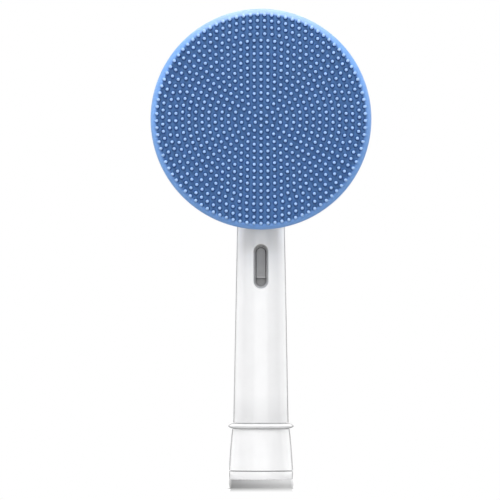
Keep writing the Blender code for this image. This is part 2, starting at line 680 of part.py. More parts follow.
def silicone_pad(finish):
    """The blue pad: a shell round the backing, with an open back, a rolled lip and a face of nubs."""
    face_corner = (FACE_FLAT_RADIUS, PAD_FACE + FACE_EDGE_RADIUS)
    back_corner = (PAD_RADIUS - BACK_EDGE_RADIUS, PAD_BACK - BACK_EDGE_RADIUS)
    profile = arc(face_corner, FACE_EDGE_RADIUS, -90, 0, FILLET_STEPS)
    profile += arc(back_corner, BACK_EDGE_RADIUS, 0, 90, FILLET_STEPS)
    profile += [(LIP_RADIUS, PAD_BACK), (LIP_RADIUS, PAD_BACK - LIP_WALL),
                (CAVITY_RADIUS, PAD_BACK - LIP_WALL), (CAVITY_RADIUS, PAD_FACE + FACE_WALL),
                (0, PAD_FACE + FACE_WALL)]
    bm = turned_bmesh(profile, "Y", PAD_FACETS)
    nub_face(bm)
    return finished("silicone_pad", bm, (0, 0, PAD_HEIGHT), finish)


def build():
    for old in list(bpy.data.objects):
        bpy.data.objects.remove(old, do_unlink=True)
    white = material("white_plastic", (0.87, 0.87, 0.88), 0.25)
    clear = material("ring_plastic", (0.92, 0.92, 0.93), 0.15)
    grey = material("grey_plastic", (0.24, 0.24, 0.25), 0.45)
    steel = material("steel", (0.62, 0.62, 0.60), 0.3, 1.0)
    blue = material("blue_silicone", (0.10, 0.26, 0.58), 0.45)
    stem_housing(white)
    base_insert(white)
    marker_ring(clear)
    retaining_pin(steel)
    drive_rod(grey)
    shaft_clip(steel)
    pad_carrier(white)
    pad_backing(white)
    silicone_pad(blue)


build()
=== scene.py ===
# %% [markdown]
# # A facial cleansing brush head
#
# This lesson dresses a small brush head for the camera: a blue silicone pad with hundreds of soft nubs, on
# a slim white stem that pushes onto a powered handle. The engineering model comes first, as a fixed frame.
# It says where every piece is and what moves. The looks are then built round it, one piece at a time, in
# the same metres: +Z runs up the stem, and the nubs face -Y.

# %% Load the frame and keep its box
import math

import bmesh
import bpy
from mathutils import Matrix, Vector


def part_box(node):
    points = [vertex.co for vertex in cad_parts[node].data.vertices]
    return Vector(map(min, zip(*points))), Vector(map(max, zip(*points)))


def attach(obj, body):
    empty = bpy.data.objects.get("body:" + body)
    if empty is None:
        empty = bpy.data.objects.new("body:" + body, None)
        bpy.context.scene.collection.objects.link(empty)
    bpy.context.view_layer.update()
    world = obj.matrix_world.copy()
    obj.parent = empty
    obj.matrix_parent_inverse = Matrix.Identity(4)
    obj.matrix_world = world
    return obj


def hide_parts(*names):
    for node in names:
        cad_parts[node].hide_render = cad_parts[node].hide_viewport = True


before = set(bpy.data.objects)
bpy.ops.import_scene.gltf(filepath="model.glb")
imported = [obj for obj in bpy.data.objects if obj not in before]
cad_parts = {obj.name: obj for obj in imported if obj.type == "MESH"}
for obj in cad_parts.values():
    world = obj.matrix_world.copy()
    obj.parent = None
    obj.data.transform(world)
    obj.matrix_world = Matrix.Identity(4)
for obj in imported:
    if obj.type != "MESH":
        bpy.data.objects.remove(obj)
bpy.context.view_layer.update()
MM = 0.001
pad_low, pad_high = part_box("silicone_pad")
PAD_RADIUS = (pad_high[0] - pad_low[0]) / 2
PAD_HEIGHT = (pad_high[2] + pad_low[2]) / 2
PAD_TIP = pad_low[1]
PAD_BACK = pad_high[1]

# %% [markdown]
# ## The camera
#
# Product photographs like this one are taken from far away with a long lens, so that near and far parts
# keep the same scale. A camera 3 m off, level with the middle of the frame, does the same. The lens
# follows from how much of the subject has to fill the square picture.

# %% Camera
FRAME_WIDTH = 101.6 * MM
SENSOR_WIDTH = 36
CAMERA_X = -2.235 * MM
CAMERA_HEIGHT = 46.74 * MM
CAMERA_AWAY = 3.0
FACE_PLANE = 9.5 * MM
NEAREST_SEEN = 0.01

lens_data = bpy.data.cameras.new("camera")
lens_data.sensor_width = SENSOR_WIDTH
lens_data.sensor_fit = "HORIZONTAL"
lens_data.lens = SENSOR_WIDTH * (CAMERA_AWAY - FACE_PLANE) / FRAME_WIDTH
lens_data.clip_start = NEAREST_SEEN
camera = bpy.data.objects.new("camera", lens_data)
camera.location = (CAMERA_X, -CAMERA_AWAY, CAMERA_HEIGHT)
camera.rotation_euler = (math.radians(90), 0, 0)
bpy.context.scene.collection.objects.link(camera)
bpy.context.scene.camera = camera
bpy.context.scene.view_settings.view_transform = "Standard"
print("lens", round(lens_data.lens), "mm")

# %% [markdown]
# ## Small helpers for materials
#
# Every finish here is a Principled shader with a pattern on Object coordinates. The new pieces stay at the
# origin, so for them those coordinates are simply metres in the model. The helpers below add a node in one
# line, where the node editor would take a few clicks.

# %% Nodes and sockets
def set_sockets(node, values):
    """Writes plain values on a node's own sockets. An underscore stands for a space in a socket's name."""
    for key, value in values.items():
        node.inputs[key.replace("_", " ")].default_value = value


def new_material(name, **sockets):
    """A material whose Principled shader has these values. Returns it with its node tree and that shader."""
    made = bpy.data.materials.new(name)
    made.use_nodes = True
    shader = made.node_tree.nodes["Principled BSDF"]
    set_sockets(shader, sockets)
    return made, made.node_tree, shader


def add_node(tree, kind, settings=None, **sockets):
    """Adds a node, and sets its properties and its sockets' values."""
    node = tree.nodes.new(kind)
    for key, value in (settings or {}).items():
        setattr(node, key, value)
    set_sockets(node, sockets)
    return node


def feed(tree, source, socket):
    """Links a socket to its source, or writes a plain value into it."""
    if isinstance(source, bpy.types.NodeSocket):
        tree.links.new(source, socket)
    else:
        socket.default_value = source


print("node helpers ready")

# %% [markdown]
# ## Numbers that say where a point is
#
# A finish that changes along a piece needs a number that says where a point lies: its height, its depth
# below the skin, or its distance from an axis. These helpers make such numbers from the coordinates. A Map
# Range node then turns a range of metres into a range from 0 to 1, and holds it at both ends.

# %% Values
def worked(tree, operation, *sources):
    """Arithmetic on one or two values."""
    node = add_node(tree, "ShaderNodeMath", {"operation": operation})
    for number, source in enumerate(sources):
        feed(tree, source, node.inputs[number])
    return node.outputs[0]


def remapped(tree, source, from_low, from_high, to_low, to_high):
    """Stretches a value from one range to another."""
    node = add_node(tree, "ShaderNodeMapRange", From_Min=from_low, From_Max=from_high,
                    To_Min=to_low, To_Max=to_high)
    tree.links.new(source, node.inputs["Value"])
    return node.outputs["Result"]


def band(tree, source, rise, fall, height=1):
    """Goes from 0 to a height over the first range of the value, and back to 0 over the second."""
    return worked(tree, "MULTIPLY", remapped(tree, source, *rise, 0, 1),
                  remapped(tree, source, *fall, height, 0))


def coordinates(tree, kind="Object"):
    """A point's coordinates, as one vector and as the sockets X, Y and Z."""
    place = add_node(tree, "ShaderNodeTexCoord").outputs[kind]
    parts = add_node(tree, "ShaderNodeSeparateXYZ")
    tree.links.new(place, parts.inputs["Vector"])
    return place, parts.outputs


def distance_from(tree, place, middle, axes):
    """How far a place is from a middle. An axis that is 0 isn't counted."""
    for operation, other in (("SUBTRACT", middle), ("MULTIPLY", axes), ("LENGTH", None)):
        node = add_node(tree, "ShaderNodeVectorMath", {"operation": operation})
        tree.links.new(place, node.inputs[0])
        if other:
            node.inputs[1].default_value = other
            place = node.outputs["Vector"]
    return node.outputs["Value"]


print("value helpers ready")

# %% [markdown]
# ## Tones from those numbers
#
# No real surface has one even tone. Noise on the coordinates gives a soft drift, with its scale in features
# per metre. A colour ramp turns a number into a tone, and a Mix node lays one tone over another.

# %% Tones and bumps
NOISE_SPAN = (0.3, 0.7)


def object_noise(tree, scale, detail=2.0, stretch=(1, 1, 1)):
    """Noise on Object coordinates, in features per metre. Nearly all of it lies in NOISE_SPAN."""
    mapping = add_node(tree, "ShaderNodeMapping", Scale=stretch)
    noise = add_node(tree, "ShaderNodeTexNoise", Scale=scale, Detail=detail)
    tree.links.new(add_node(tree, "ShaderNodeTexCoord").outputs["Object"], mapping.inputs["Vector"])
    tree.links.new(mapping.outputs["Vector"], noise.inputs["Vector"])
    return noise.outputs["Fac"]


def ramp(tree, source, stops):
    """A colour ramp on a value. Each stop is (place, (r, g, b))."""
    node = add_node(tree, "ShaderNodeValToRGB")
    elements = node.color_ramp.elements
    elements[0].position, elements[0].color = stops[0][0], (*stops[0][1], 1)
    elements[1].position, elements[1].color = stops[-1][0], (*stops[-1][1], 1)
    for place, colour in stops[1:-1]:
        added = elements.new(place)
        added.color = (*colour, 1)
    tree.links.new(source, node.inputs["Fac"])
    return node.outputs["Color"]


def two_tones(tree, noise, tones, span=NOISE_SPAN):
    """A drift between two tones, by a noise."""
    return ramp(tree, noise, list(zip(span, tones)))


def mixed(tree, kind, amount, below, above, blend="MIX"):
    """A mix of two values or colours: the lower one at an amount of 0, and the upper one at 1."""
    node = add_node(tree, "ShaderNodeMix", {"data_type": kind, "blend_type": blend})
    for name, source in {"Factor": amount, "A": below, "B": above}.items():
        feed(tree, source, node.inputs[name])
    return node.outputs["Result"]


def tinted(tree, blend, below, above, amount=1):
    """Lays a colour over another. The upper one is a socket or a plain colour."""
    return mixed(tree, "RGBA", amount, below, (*above, 1) if isinstance(above, tuple) else above, blend)


def add_bump(tree, shader, height, strength, depth):
    """Small bumps by a height from 0 to 1, as deep as stated in metres."""
    bump = add_node(tree, "ShaderNodeBump", Strength=strength, Distance=depth)
    tree.links.new(height, bump.inputs["Height"])
    tree.links.new(bump.outputs["Normal"], shader.inputs["Normal"])


print("tone helpers ready")

# %% [markdown]
# ## The stem's main sizes
#
# From the table up, the stem has the flange of its insert, a thin parting line, a flared foot, a waist that
# the ring clips round, and a straight taper to the cup. Their heights and radii come from the photograph's
# proportions. They are set down before the finishes, because the white plastic is shaded by the same sizes
# that the meshes are made from.

# %% Main sizes
PARTING_HEIGHT = 1.72 * MM
PARTING_GAP = 0.17 * MM
FLANGE_TOP = PARTING_HEIGHT - PARTING_GAP / 2
SLEEVE_FOOT = PARTING_HEIGHT + PARTING_GAP / 2
RING_HEIGHT = 11 * MM
WAIST_RADIUS = 5.63 * MM
NECK_RADIUS = 4.51 * MM
CUP_RADIUS = 6.5 * MM
TAPER_TOP = PAD_HEIGHT - CUP_RADIUS / 2
print("the taper runs from", round(RING_HEIGHT, 5), "to", round(TAPER_TOP, 5))

# %% [markdown]
# ## White moulded plastic
#
# The stem is a smooth injection moulding. Real ones aren't perfectly even: the gloss drifts a little, and
# the surface has a very low swell left by the shrinking plastic. Both are far finer than the piece. Shade is
# painted into the white where it lies below the skin, as in the window's wall and the ring's groove, and
# darker shade is painted into the parting line's gap. A touch of painted shade lies just above the ring,
# where the ring hides the stem from the table's light. The front of the neck is painted a touch warmer,
# which evens out the blue light that the pad throws on it.

# %% Where shade and warmth are painted on the white
RECESS_DEPTHS = (0.1 * MM, 0.4 * MM)
RECESS_TOP = (56 * MM, 60 * MM)
ABOVE_RING = (11.5 * MM, 17.5 * MM)
RING_EDGE = 0.3 * MM
RING_SHADE = 0.35
LINE_EDGE = 0.005 * MM
NECK_RISE = (45.5 * MM, 50.5 * MM)
NECK_FRONT = (-2.5 * MM, -4 * MM)


def painted_shade_places(tree):
    """Painted shade: 1 well below the skin, as in the window and the groove, less just above the ring, 0
    elsewhere.
    """
    place, along = coordinates(tree)
    skin = remapped(tree, along["Z"], RING_HEIGHT, TAPER_TOP, WAIST_RADIUS, NECK_RADIUS)
    below_skin = worked(tree, "SUBTRACT", skin, distance_from(tree, place, (0, 0, 0), (1, 1, 0)))
    recess = worked(tree, "MULTIPLY", remapped(tree, below_skin, *RECESS_DEPTHS, 0, 1),
                    remapped(tree, along["Z"], *RECESS_TOP, 1, 0))
    near_ring = band(tree, along["Z"], (ABOVE_RING[0] - RING_EDGE, ABOVE_RING[0]), ABOVE_RING, RING_SHADE)
    return worked(tree, "MAXIMUM", recess, near_ring)


def in_parting_line(tree):
    """1 inside the gap between the stem and its insert, by height, where shade is painted."""
    rise = (FLANGE_TOP - LINE_EDGE, FLANGE_TOP)
    return band(tree, coordinates(tree)[1]["Z"], rise, (SLEEVE_FOOT, SLEEVE_FOOT + LINE_EDGE))


def under_pad(tree):
    """1 on the front of the neck, which the pad's blue light falls on."""
    along = coordinates(tree)[1]
    return worked(tree, "MULTIPLY", remapped(tree, along["Z"], *NECK_RISE, 0, 1),
                  remapped(tree, along["Y"], *NECK_FRONT, 0, 1))


print("shaded below the skin by", RECESS_DEPTHS, "and above the ring by", RING_SHADE)

# %% White plastic
# painted shade: in recesses and just above the ring, and darker in the parting gap
RECESS_SHADE = (0.57, 0.57, 0.58)
PARTING_SHADE = (0.4, 0.4, 0.41)
# a painted warmth that offsets the blue light the pad throws on the neck's front
NECK_PAINTED_WARMTH = (0.94, 0.905, 0.84)
DRIFT_SCALE, GLOSS_SCALE, SWELL_SCALE = 220, 900, 500
DRIFT_SPAN = (0.35, 0.65)
WHITE_DRIFT = 0.975
GLOSS_DRIFT = (0.85, 1.2)
SWELL_STRENGTH = 0.15


def moulded_white(name, colour, roughness, swell):
    """Glossy white plastic with a slight drift in tone and gloss, a faint swell, and painted shade and
    warmth.
    """
    made, tree, shader = new_material(name, Roughness=roughness)
    darker = tuple(channel * WHITE_DRIFT for channel in colour)
    tone = two_tones(tree, object_noise(tree, DRIFT_SCALE, detail=3), (darker, colour), DRIFT_SPAN)
    # painted shade below the skin, just above the ring and in the parting gap, and a painted warmth on the
    # neck
    shade = ramp(tree, painted_shade_places(tree), [(0, (1, 1, 1)), (1, RECESS_SHADE)])
    tone = tinted(tree, "MULTIPLY", tone, shade)
    tone = tinted(tree, "MULTIPLY", tone, PARTING_SHADE, in_parting_line(tree))
    tone = tinted(tree, "MULTIPLY", tone, NECK_PAINTED_WARMTH, under_pad(tree))
    tree.links.new(tone, shader.inputs["Base Color"])
    least, most = (roughness * share for share in GLOSS_DRIFT)
    gloss = remapped(tree, object_noise(tree, GLOSS_SCALE), *NOISE_SPAN, least, most)
    tree.links.new(gloss, shader.inputs["Roughness"])
    add_bump(tree, shader, object_noise(tree, SWELL_SCALE, detail=1), SWELL_STRENGTH, swell)
    return made


stem_white = moulded_white("stem_white", (0.885, 0.885, 0.89), roughness=0.13, swell=0.01 * MM)
ring_white = moulded_white("ring_white", (0.89, 0.89, 0.895), roughness=0.13, swell=0.01 * MM)
backing_white = moulded_white("backing_white", (0.82, 0.82, 0.83), roughness=0.35, swell=0.03 * MM)
print("white plastics made")

# %% [markdown]
# ## Grey plastic and steel
#
# The drive rod is a grey acetal that is tough and slides well, and it has a satin skin. A raised rail runs
# down its front. The grooves beside the rail catch light from the window's white walls, so that light is
# painted into them as a paler grey, and a painted highlight runs along the rail's foot. The clip and the pin
# are drawn steel, and fine lines run along them, so their noise is stretched along Z.

# %% Grey plastic
GREY_TONES = ((0.265, 0.265, 0.27), (0.3, 0.3, 0.305))
GREY_SCALE, GREY_GRAIN = 600, 6000
RAIL_FOOT = (41.0 * MM, 41.28 * MM)
RAIL_FOOT_HIGHLIGHT = (0.45, 0.45, 0.455)
RAIL_FACE = (-3.36 * MM, -3.33 * MM)
RAIL_FADE = 0.05 * MM
GROOVE_FACE = (-3.3 * MM, -3.2 * MM)
GROOVE_PAINTED_LIGHT = (0.75, 0.75, 0.76)


def satin_grey(base_height):
    """Satin grey plastic with painted light. The rod keeps its own origin, so heights on it count from that.
    """
    made, tree, shader = new_material("rod_grey", Roughness=0.42)
    along = coordinates(tree)[1]
    low, high = RAIL_FOOT[0] - base_height, RAIL_FOOT[1] - base_height
    tone = two_tones(tree, object_noise(tree, GREY_SCALE, detail=4), GREY_TONES)
    # a painted highlight along the rail's foot
    at_foot = band(tree, along["Z"], (low, low + RAIL_FADE), (high, high + RAIL_FADE))
    on_rail = remapped(tree, along["Y"], *RAIL_FACE, 1, 0)
    tone = tinted(tree, "MIX", tone, RAIL_FOOT_HIGHLIGHT, worked(tree, "MULTIPLY", at_foot, on_rail))
    # painted light in the grooves, standing in for light from the window's white walls
    in_grooves = worked(tree, "MULTIPLY", remapped(tree, along["Y"], *GROOVE_FACE, 0, 1),
                        remapped(tree, along["Z"], low, high, 0, 1))
    tone = tinted(tree, "MIX", tone, GROOVE_PAINTED_LIGHT, in_grooves)
    tree.links.new(tone, shader.inputs["Base Color"])
    add_bump(tree, shader, object_noise(tree, GREY_GRAIN), strength=0.2, depth=0.01 * MM)
    return made


rod_grey = satin_grey(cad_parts["drive_rod"].matrix_world.translation.z)
print(rod_grey.name, "made")

# %% Steel
STEEL_TONES = ((0.52, 0.52, 0.51), (0.66, 0.66, 0.65))
STEEL_ROUGHNESS = (0.24, 0.38)
STEEL_SCALE = 900
DRAWN_LINES = (8, 8, 0.3)


def drawn_steel():
    """Bright steel whose tone and gloss vary in fine lines along Z."""
    made, tree, shader = new_material("drawn_steel", Roughness=0.3, Metallic=1.0)
    lines = object_noise(tree, STEEL_SCALE, stretch=DRAWN_LINES)
    tree.links.new(two_tones(tree, lines, STEEL_TONES), shader.inputs["Base Color"])
    tree.links.new(remapped(tree, lines, *NOISE_SPAN, *STEEL_ROUGHNESS), shader.inputs["Roughness"])
    return made


steel = drawn_steel()
print(steel.name, "made")

# %% [markdown]
# ## Blue silicone
#
# Silicone rubber is slightly see-through, so light goes in at a nub's tip and comes out of its sides. The
# subsurface setting does that. The tips also look paler than the floor between them, and that is painted as
# light and shade: a ramp on the depth, which is the Object Y coordinate, goes from blue at the floor through
# a deep blue at each nub's flared foot, a painted shade, to a light blue at the tips, a painted light. The
# thin rim lets light through too, so light is painted on it as a lighter blue by its distance from the pad's
# axis, and so is all that lies behind the face. That painted light is palest at the top, where most of the
# light comes in.

# %% Silicone
NUB_HEIGHT = 1.4 * MM
PAD_FACE = PAD_TIP + NUB_HEIGHT
DEPTH_PAINTED_BLUES = [(0.0, (0.108, 0.245, 0.52)), (0.06, (0.012, 0.078, 0.28)), (0.5, (0.016, 0.10, 0.35)),
               (0.8, (0.20, 0.42, 0.88)), (0.94, (0.41, 0.62, 1.0)), (1.0, (0.48, 0.69, 1.0))]
RIM_PAINTED_LIGHT = (0.24, 0.455, 0.89)
RIM_BLEND = (21.15 * MM, 21.5 * MM)
TOP_PAINTED_LIGHT = (0.42, 0.60, 0.97)
TOP_BLEND = (PAD_HEIGHT + 15 * MM, PAD_HEIGHT + 22 * MM)
BACK_BLEND = (PAD_FACE + 0.4 * MM, PAD_FACE + 1.2 * MM)
CLOUDS = ((0.93, 0.93, 0.93), (1, 1, 1))
CLOUD_SCALE, SKIN_GRAIN = 350, 5000


def soft_silicone():
    """Blue silicone with painted light at the nubs' tips, at the rim and behind the face, and painted shade
    low down.
    """
    made, tree, shader = new_material("blue_silicone_skin", Roughness=0.38, Specular_IOR_Level=0.14,
                                      Subsurface_Weight=0.15, Subsurface_Scale=0.5 * MM,
                                      Subsurface_Radius=(0.7, 0.7, 0.7))
    place, along = coordinates(tree)
    radius = distance_from(tree, place, (0, 0, PAD_HEIGHT), (1, 0, 1))
    outside = remapped(tree, radius, *RIM_BLEND, 0, 1)
    behind = remapped(tree, along["Y"], *BACK_BLEND, 0, 1)
    high = remapped(tree, along["Z"], *TOP_BLEND, 0, 1)
    # painted shade at the floor and the nubs' feet, and painted light at the tips
    tone = ramp(tree, remapped(tree, along["Y"], PAD_FACE, PAD_TIP, 0, 1), DEPTH_PAINTED_BLUES)
    # painted light on the rim and on all that lies behind the face
    tone = tinted(tree, "LIGHTEN", tone, RIM_PAINTED_LIGHT, worked(tree, "MAXIMUM", outside, behind))
    # more painted light at the top of the rim, where the light comes from
    tone = tinted(tree, "LIGHTEN", tone, TOP_PAINTED_LIGHT, worked(tree, "MULTIPLY", outside, high))
    tone = tinted(tree, "MULTIPLY", tone, two_tones(tree, object_noise(tree, CLOUD_SCALE, detail=3), CLOUDS))
    tree.links.new(tone, shader.inputs["Base Color"])
    add_bump(tree, shader, object_noise(tree, SKIN_GRAIN), strength=0.15, depth=0.02 * MM)
    return made


silicone = soft_silicone()
print(silicone.name, "made")

# %% [markdown]
# ## Turning a profile into a piece
#
# Most of the pieces are round, as if turned on a lathe. Their outline is drawn once as a chain of edges,
# and bmesh.ops.spin sweeps it round the axis. The doubles are merged where the chain meets the axis.

# %% Spin and finish
UP = Vector((0, 0, 1))
BACK = Vector((0, 1, 0))
SAME_PLACE = 1e-7


def spaced(first, last, steps):
    """Evenly spaced values from the first to the last."""
    return [first + (last - first) * step / steps for step in range(steps + 1)]


def rounded_corner(centre, radius, start, end, steps):
    """Points on an arc in a profile, from one angle to the other in degrees."""
    turns = [math.radians(turn) for turn in spaced(start, end, steps)]
    return [(centre[0] + radius * math.cos(turn), centre[1] + radius * math.sin(turn)) for turn in turns]


def spun(profile, axis, steps):
    """Spins a chain of (radius, place along the axis). One that stays off the axis is closed on itself."""
    bm = bmesh.new()
    chain = [bm.verts.new(Vector((radius, 0, 0)) + axis * along) for radius, along in profile]
    for first, second in zip(chain, chain[1:]):
        bm.edges.new((first, second))
    if profile[0][0] > 0 and profile[-1][0] > 0:
        bm.edges.new((chain[-1], chain[0]))
    bmesh.ops.spin(bm, geom=bm.verts[:] + bm.edges[:], cent=(0, 0, 0), axis=axis, angle=math.tau,
                   steps=steps, use_merge=True)
    bmesh.ops.remove_doubles(bm, verts=bm.verts, dist=SAME_PLACE)
    bmesh.ops.recalc_face_normals(bm, faces=bm.faces)
    return bm


def eased(bm, edges, offset, segments):
    """Rounds edges off, as no moulded edge is sharp."""
    bmesh.ops.bevel(bm, geom=edges, offset=offset, offset_type="OFFSET", segments=segments, profile=0.5,
                    affect="EDGES", clamp_overlap=True, material=-1)


def as_object(bm, name, finish=None, sharp=35):
    """A smooth-shaded object from a bmesh. Edges sharper than the angle in degrees stay crisp."""
    mesh = bpy.data.meshes.new(name)
    bm.to_mesh(mesh)
    bm.free()
    mesh.shade_smooth()
    mesh.set_sharp_from_angle(angle=math.radians(sharp))
    if finish:
        mesh.materials.append(finish)
    made = bpy.data.objects.new(name, mesh)
    bpy.context.scene.collection.objects.link(made)
    return made


def dressed(piece, body, node):
    """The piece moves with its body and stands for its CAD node."""
    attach(piece, body)
    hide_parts(node)
    print(piece.name, len(piece.data.polygons), "faces")


print("spin helpers ready")

# %% [markdown]
# ## The pad: a shell with a field of nubs
#
# The pad is one silicone moulding. Its skin wraps a stiff disc: a face, a rounded rim, a side and a lip
# that holds at the back. The skin is spun round the pad's own axis. One nub is spun as well, with a small
# flare at its foot and a rounded tip, and then copied to each of its 803 places. The places run in rings
# about one pitch apart, as the mould has them. Each foot sinks a little way into the face.

# %% Nub places
NUB_PITCH = 1.3316 * MM
THINNED_RINGS = {13: 73, 14: 81, 15: 87, 16: 93}
NUB_RING_COUNT = 16
OUTER_RING_RADIUS = 21.19 * MM


def nub_places():
    """Each nub's centre (x, z) about the pad's axis. Every ring starts at the bottom."""
    places = [(0.0, 0.0)]
    for ring in range(1, NUB_RING_COUNT + 1):
        count = THINNED_RINGS.get(ring, 6 * ring)
        radius = min(ring * NUB_PITCH, OUTER_RING_RADIUS)
        for number in range(count):
            turn = math.tau * number / count
            places.append((radius * math.sin(turn), -radius * math.cos(turn)))
    return places


print(len(nub_places()), "nubs")

# %% One nub
NUB_SIDES = 8
NUB_SINK = 0.3 * MM
NUB_OUTLINE = [(0.56, 0.0), (0.45, 0.10), (0.395, 0.42), (0.37, 1.0), (0.33, 1.22), (0.2, 1.36), (0.0, 1.4)]


def one_nub():
    """A nub about the Y axis, with its foot below the pad's face. Its outline is (radius, rise) in mm."""
    outline = [(0.0, PAD_FACE + NUB_SINK), (NUB_OUTLINE[0][0] * MM, PAD_FACE + NUB_SINK)]
    outline += [(radius * MM, PAD_FACE - rise * MM) for radius, rise in NUB_OUTLINE]
    bm = spun(outline, BACK, NUB_SIDES)
    mesh = bpy.data.meshes.new("one_nub")
    bm.to_mesh(mesh)
    bm.free()
    return mesh


nub_mesh = one_nub()
print("one nub has", len(nub_mesh.polygons), "faces")

# %% Skin and nubs together
SKIN_RADIUS = PAD_RADIUS - 0.06 * MM
RIM_RADIUS = 1.2 * MM
BACK_RIM_RADIUS = 0.9 * MM
LIP_WIDTH = 5 * MM
LIP_WALL = 1.1 * MM
SIDE_WALL = 1.6 * MM
FACE_WALL = 1.5 * MM
PAD_STEPS = 180
RIM_STEPS, BACK_STEPS = 8, 6


def pad_skin():
    """The skin's section, from the middle of the face round the rim and the lip to the inside."""
    front, back = PAD_FACE + RIM_RADIUS, PAD_BACK - BACK_RIM_RADIUS
    lip = (PAD_RADIUS - LIP_WIDTH + LIP_WALL / 2, PAD_BACK - LIP_WALL / 2)
    outline = [(0.0, PAD_FACE), (PAD_RADIUS * 0.5, PAD_FACE)]
    outline += rounded_corner((SKIN_RADIUS - RIM_RADIUS, front), RIM_RADIUS, -90, 0, RIM_STEPS)
    outline += rounded_corner((SKIN_RADIUS - BACK_RIM_RADIUS, back), BACK_RIM_RADIUS, 0, 90, BACK_STEPS)
    outline += rounded_corner(lip, LIP_WALL / 2, 90, 270, BACK_STEPS)
    outline += [(PAD_RADIUS - SIDE_WALL, PAD_BACK - LIP_WALL), (PAD_RADIUS - SIDE_WALL, PAD_FACE + FACE_WALL),
                (0.0, PAD_FACE + FACE_WALL)]
    return spun(outline, BACK, PAD_STEPS)


def cleansing_pad():
    """The skin with a copy of the nub at each of its places."""
    bm = pad_skin()
    for x, z in nub_places():
        placed = nub_mesh.copy()
        placed.transform(Matrix.Translation((x, 0, z)))
        bm.from_mesh(placed)
        bpy.data.meshes.remove(placed)
    bmesh.ops.translate(bm, verts=bm.verts, vec=(0, 0, PAD_HEIGHT))
    return as_object(bm, "cleansing_pad", silicone, sharp=60)


pad = cleansing_pad()
bpy.data.meshes.remove(nub_mesh)
dressed(pad, "head", "silicone_pad")

# %% [markdown]
# ## The stem's form
#
# The stem is a slim tapered sleeve. It flares out at the foot, and at the top its round section swells
# into a flat-fronted cup that holds the pad's bearing. Every section is a rounded figure between a circle
# and a rectangle: a superellipse. Its half width follows the taper, and near the top it follows the cup's
# round outline, with a smooth change from one to the other.

# %% Stem sizes
FOOT_RADIUS = 6.54 * MM
FLARE_POWER = 0.6
CUP_FRONT = 4.4 * MM
CUP_BACK = 4.6 * MM
CUP_EDGE = 1.6 * MM
CUP_FRONT_SQUARE = 12
CUP_BACK_SQUARE = 5
ROUND = 2
NECK_LENGTH = 8 * MM
NECK_SWELL = 2 * MM


def stem_radius(height):
    """A straight taper above the ring and a flare below it."""
    if height >= RING_HEIGHT:
        share = (height - RING_HEIGHT) / (TAPER_TOP - RING_HEIGHT)
        return WAIST_RADIUS + share * (NECK_RADIUS - WAIST_RADIUS)
    share = (RING_HEIGHT - height) / (RING_HEIGHT - PARTING_HEIGHT)
    return WAIST_RADIUS + (FOOT_RADIUS - WAIST_RADIUS) * share ** FLARE_POWER


def stem_half_width(height):
    """The taper, which swells smoothly into the cup's round outline."""
    cup = math.sqrt(max(CUP_RADIUS ** 2 - (height - PAD_HEIGHT) ** 2, 0))
    if height >= PAD_HEIGHT:
        return cup
    taper = stem_radius(height)
    swell = max(NECK_SWELL - abs(taper - cup), 0) ** 2 / (4 * NECK_SWELL)
    return max(taper, cup) + swell


def stem_depths(height):
    """Front and back of the section, and how square its two halves are."""
    share = min(max((height - PAD_HEIGHT) / NECK_LENGTH + 1, 0), 1)
    blend = share * share * (3 - 2 * share)
    radius = stem_radius(height)
    over = max(height - PAD_HEIGHT - CUP_RADIUS + CUP_EDGE, 0)
    drop = CUP_EDGE - math.sqrt(max(CUP_EDGE ** 2 - over ** 2, 0))
    front = radius + blend * (CUP_FRONT - radius)
    back = radius + blend * (CUP_BACK - radius) - drop
    return front, back, ROUND + blend * (CUP_FRONT_SQUARE - ROUND), ROUND + blend * (CUP_BACK_SQUARE - ROUND)


print("waist", round(stem_radius(RING_HEIGHT), 5), "neck", round(stem_radius(TAPER_TOP), 5))

# %% [markdown]
# ## Rings pulled up the stem
#
# The sleeve's skin starts as one circle at the foot. It is extruded up ring by ring, and each new ring is
# moved onto the section at its height. The window near the top is planned into the rings: its two front
# columns of vertices part and follow the window's oblong outline, so that the faces between them can
# simply be deleted. The skin stays smooth right up to the hole's edge, which a Boolean cut would spoil.

# %% Window and columns
STEM_COLUMNS = 128
WINDOW_HALF = 1.565 * MM
WINDOW_LOW = 38.8 * MM
WINDOW_HIGH = 48.0 * MM
WINDOW_END_STEPS = 9
SPREAD_ANGLE = math.radians(70)
FRONT_ANGLE = math.pi / STEM_COLUMNS
ROUNDING = 1e-9


def window_half_width(height):
    """Half width of the oblong at a height, and None above and below it."""
    if height < WINDOW_LOW - ROUNDING or height > WINDOW_HIGH + ROUNDING:
        return None
    into_end = max(WINDOW_LOW + WINDOW_HALF - height, height - WINDOW_HIGH + WINDOW_HALF, 0)
    return math.sqrt(max(WINDOW_HALF ** 2 - into_end ** 2, 0))


def window_heights():
    """Heights of the rings across the window, closer together at its round ends."""
    low_end, high_end = WINDOW_LOW + WINDOW_HALF, WINDOW_HIGH - WINDOW_HALF
    turns = [math.radians(turn) for turn in spaced(0, 90, WINDOW_END_STEPS)]
    heights = [low_end - WINDOW_HALF * math.cos(turn) for turn in turns]
    return heights + [high_end + WINDOW_HALF * math.sin(turn) for turn in turns]


def parted(angle, height):
    """Moves a column's angle from the front so that the first column on each side follows the window."""
    half = window_half_width(height)
    if half is None or abs(angle) > SPREAD_ANGLE:
        return angle
    edge = math.asin(half / stem_radius(height))
    share = (abs(angle) - FRONT_ANGLE) / (SPREAD_ANGLE - FRONT_ANGLE)
    return math.copysign(edge + share * (SPREAD_ANGLE - edge), angle)


